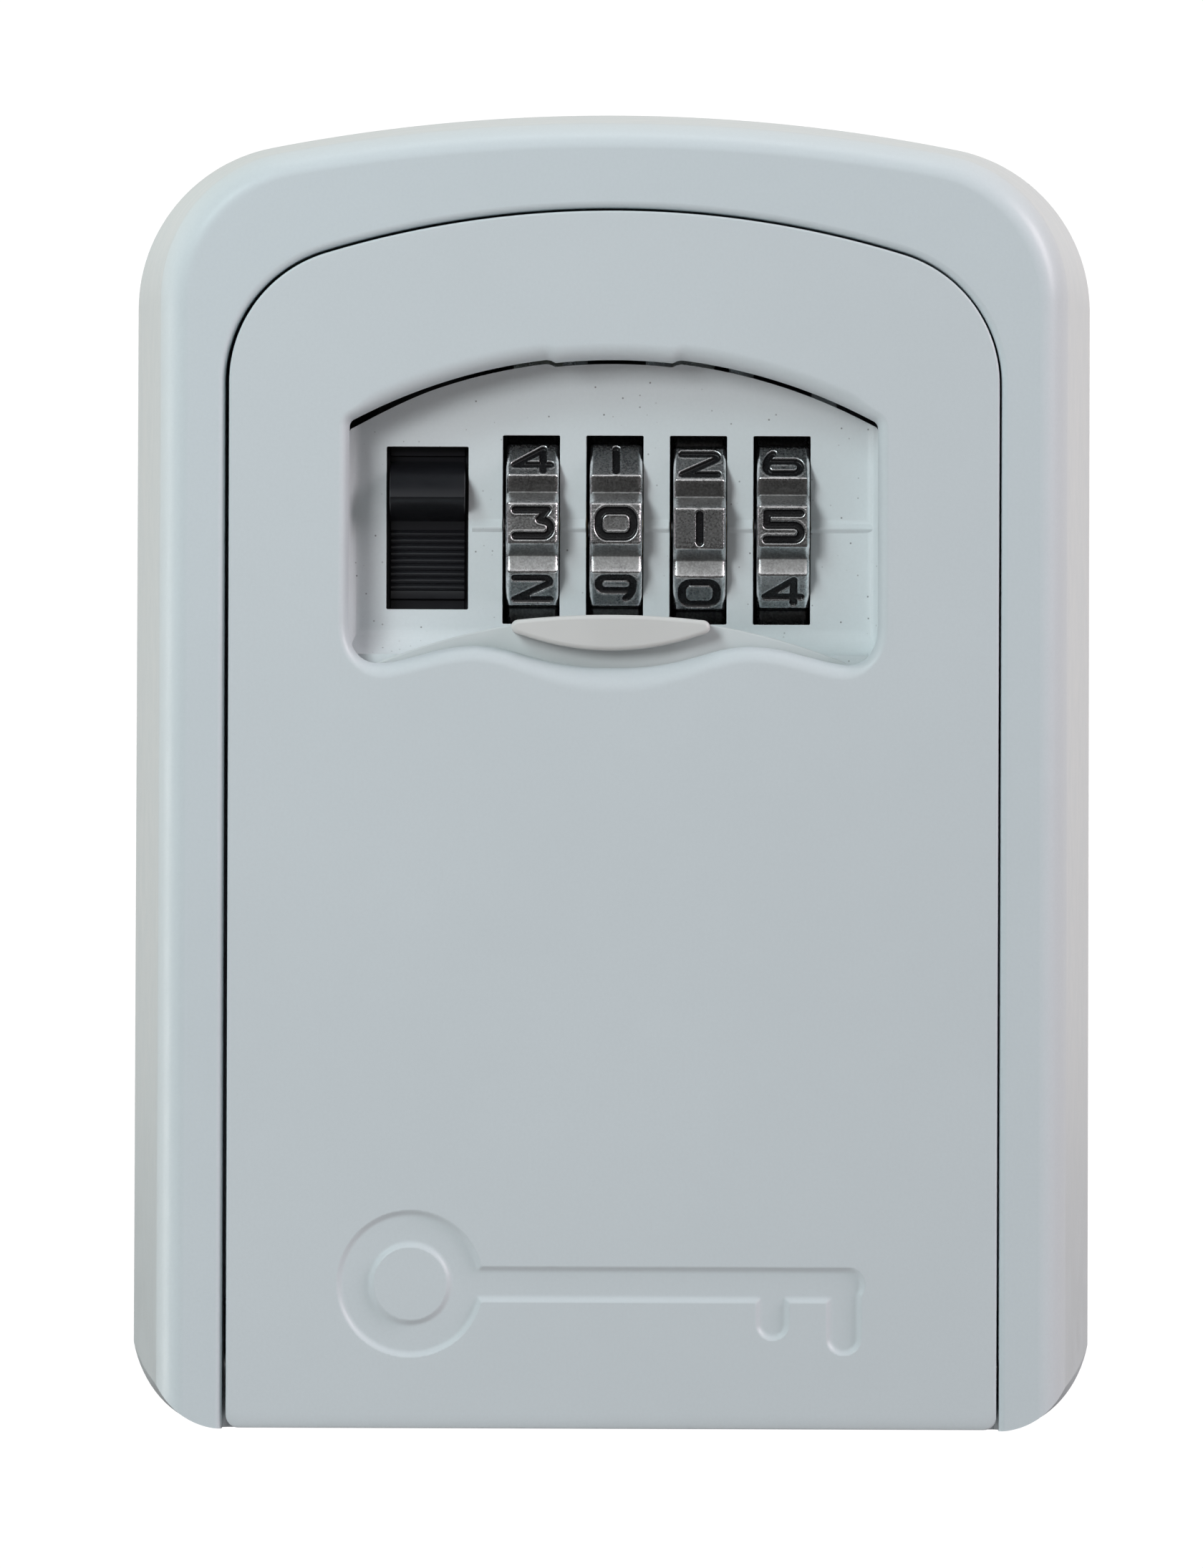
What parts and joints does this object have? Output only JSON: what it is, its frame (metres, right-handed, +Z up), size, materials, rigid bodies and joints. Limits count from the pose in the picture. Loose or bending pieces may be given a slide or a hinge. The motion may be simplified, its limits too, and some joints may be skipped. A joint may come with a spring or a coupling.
{
  "type": "key lock box",
  "caption": "Wall-mounted key lock box with an arched housing, a drop-down front door, numbered combination wheels, a thumb lever and a sliding weather shutter.",
  "frame": {"origin": "on the wall plane, at the middle of the housing's back, under the box's vertical middle line", "axes": "+X to the right of the box, +Z up, the front faces -Y and the wall is at +Y"},
  "size_m": [0.0858, 0.0351, 0.1184],
  "materials": {
    "housing_paint": "satin pale blue-grey powder coat with a fine orange peel",
    "door_paint": "satin pale blue-grey powder coat with a fine orange peel",
    "panel_paint": "smoother satin powder coat with sparse dark specks",
    "inner_cover_metal": "thin satin coat on die-cast zinc",
    "wheel_metal": "antiqued nickel plate, darkened in the grooves, worn bright on the edges",
    "steel": "bright zinc plate",
    "brass": "turned brass",
    "black_plastic": "moulded, fine texture",
    "shutter_plastic": "moulded, satin"
  },
  "bodies": {
    "housing": {"housing": "housing_paint", "hinge_pin_left": "steel", "hinge_pin_right": "steel"},
    "door": {"door_shell": "door_paint", "dial_chassis": "panel_paint", "inner_cover": "inner_cover_metal", "cover_screw_top_left": "steel", "cover_screw_top_right": "steel", "cover_screw_low_left": "steel", "cover_screw_low_right": "steel", "change_spring": "steel", "detent_spring": "steel", "detent_screw_left": "steel", "detent_screw_right": "steel", "lever_spring": "steel", "latch_spring_left": "steel", "latch_spring_right": "steel"},
    "wheel_one": {"wheel_1": "wheel_metal"},
    "wheel_two": {"wheel_2": "wheel_metal"},
    "wheel_three": {"wheel_3": "wheel_metal"},
    "wheel_four": {"wheel_4": "wheel_metal"},
    "change_spindle": {"spindle": "steel", "spring_clip": "steel", "sleeve_clip_left": "steel", "sleeve_clip_right": "steel", "change_slider": "steel"},
    "sleeve_one": {"sleeve_1": "brass"},
    "sleeve_two": {"sleeve_2": "brass"},
    "sleeve_three": {"sleeve_3": "brass"},
    "sleeve_four": {"sleeve_4": "brass"},
    "lever": {"thumb_lever": "black_plastic", "fence_comb": "steel", "fence_rivet": "steel"},
    "latch": {"latch_bolt": "steel"},
    "shutter": {"shutter": "shutter_plastic"}
  },
  "joints": [
    {"name": "door_hinge", "type": "hinge", "parent": "housing", "child": "door", "pos_m": [0, -0.0285, -0.0524], "axis": [1, 0, 0], "range_deg": [0, 100]},
    {"name": "lever_slide", "type": "slide", "parent": "door", "child": "lever", "axis": [0, 0, -1], "range_m": [0, 0.0035], "deforming": ["lever_spring"]},
    {"name": "latch_slide", "type": "slide", "parent": "door", "child": "latch", "axis": [0, 0, -1], "range_m": [-0.0033, 0], "deforming": ["latch_spring_left", "latch_spring_right"]},
    {"name": "shutter_slide", "type": "slide", "parent": "door", "child": "shutter", "axis": [0, 0, 1], "range_m": [0, 0.0219]},
    {"name": "change_slide", "type": "slide", "parent": "door", "child": "change_spindle", "axis": [1, 0, 0], "range_m": [0, 0.0013], "deforming": ["change_spring"]},
    {"name": "wheel_one_turn", "type": "hinge", "parent": "door", "child": "wheel_one", "pos_m": [-0.0071, -0.0219, 0.0214], "axis": [1, 0, 0], "continuous": true, "deforming": ["detent_spring"]},
    {"name": "wheel_two_turn", "type": "hinge", "parent": "door", "child": "wheel_two", "pos_m": [0.00022, -0.0219, 0.0214], "axis": [1, 0, 0], "continuous": true},
    {"name": "wheel_three_turn", "type": "hinge", "parent": "door", "child": "wheel_three", "pos_m": [0.00754, -0.0219, 0.0214], "axis": [1, 0, 0], "continuous": true},
    {"name": "wheel_four_turn", "type": "hinge", "parent": "door", "child": "wheel_four", "pos_m": [0.01486, -0.0219, 0.0214], "axis": [1, 0, 0], "continuous": true},
    {"name": "sleeve_one_turn", "type": "hinge", "parent": "change_spindle", "child": "sleeve_one", "pos_m": [-0.0071, -0.0219, 0.0214], "axis": [1, 0, 0], "continuous": true},
    {"name": "sleeve_two_turn", "type": "hinge", "parent": "change_spindle", "child": "sleeve_two", "pos_m": [0.00022, -0.0219, 0.0214], "axis": [1, 0, 0], "continuous": true},
    {"name": "sleeve_three_turn", "type": "hinge", "parent": "change_spindle", "child": "sleeve_three", "pos_m": [0.00754, -0.0219, 0.0214], "axis": [1, 0, 0], "continuous": true},
    {"name": "sleeve_four_turn", "type": "hinge", "parent": "change_spindle", "child": "sleeve_four", "pos_m": [0.01486, -0.0219, 0.0214], "axis": [1, 0, 0], "continuous": true}
  ],
  "couplings": [
    {"joint": "sleeve_one_turn", "follows": "wheel_one_turn", "ratio": 1},
    {"joint": "sleeve_two_turn", "follows": "wheel_two_turn", "ratio": 1},
    {"joint": "sleeve_three_turn", "follows": "wheel_three_turn", "ratio": 1},
    {"joint": "sleeve_four_turn", "follows": "wheel_four_turn", "ratio": 1}
  ]
}
